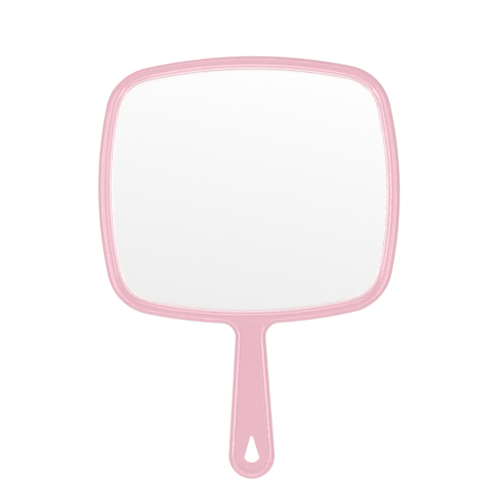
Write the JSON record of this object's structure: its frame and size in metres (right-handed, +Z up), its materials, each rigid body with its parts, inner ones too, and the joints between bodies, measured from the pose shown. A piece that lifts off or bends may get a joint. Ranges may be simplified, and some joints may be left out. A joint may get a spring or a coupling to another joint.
{
  "type": "hand mirror",
  "caption": "Salon hand mirror: rounded-square silvered glass in a stepped pink plastic frame, with a flat tapered handle that ends in a teardrop hanging hole.",
  "frame": {"origin": "under the rounded end of the handle, midway across its width and midway through the thickness", "axes": "+Z up the handle towards the head, -Y out of the mirror towards the user, +X to the right as one looks into the glass"},
  "size_m": [0.19, 0.012, 0.266],
  "materials": {
    "frame_plastic": "moulded pink plastic, polished",
    "cover_plastic": "moulded pink plastic, polished",
    "clear_glass": "clear float glass, seamed edges",
    "silver": "silvered, mirror polish",
    "film": "matte off-white backing film",
    "foam": "matte closed-cell foam"
  },
  "bodies": {
    "root": {"front_frame": "frame_plastic", "rear_cover": "cover_plastic", "mirror_glass": "clear_glass", "silver_coating": "silver", "backing_film": "film", "foam_pad_top_left": "foam", "foam_pad_top_middle": "foam", "foam_pad_top_right": "foam", "foam_pad_bottom_left": "foam", "foam_pad_bottom_middle": "foam", "foam_pad_bottom_right": "foam"}
  },
  "joints": []
}
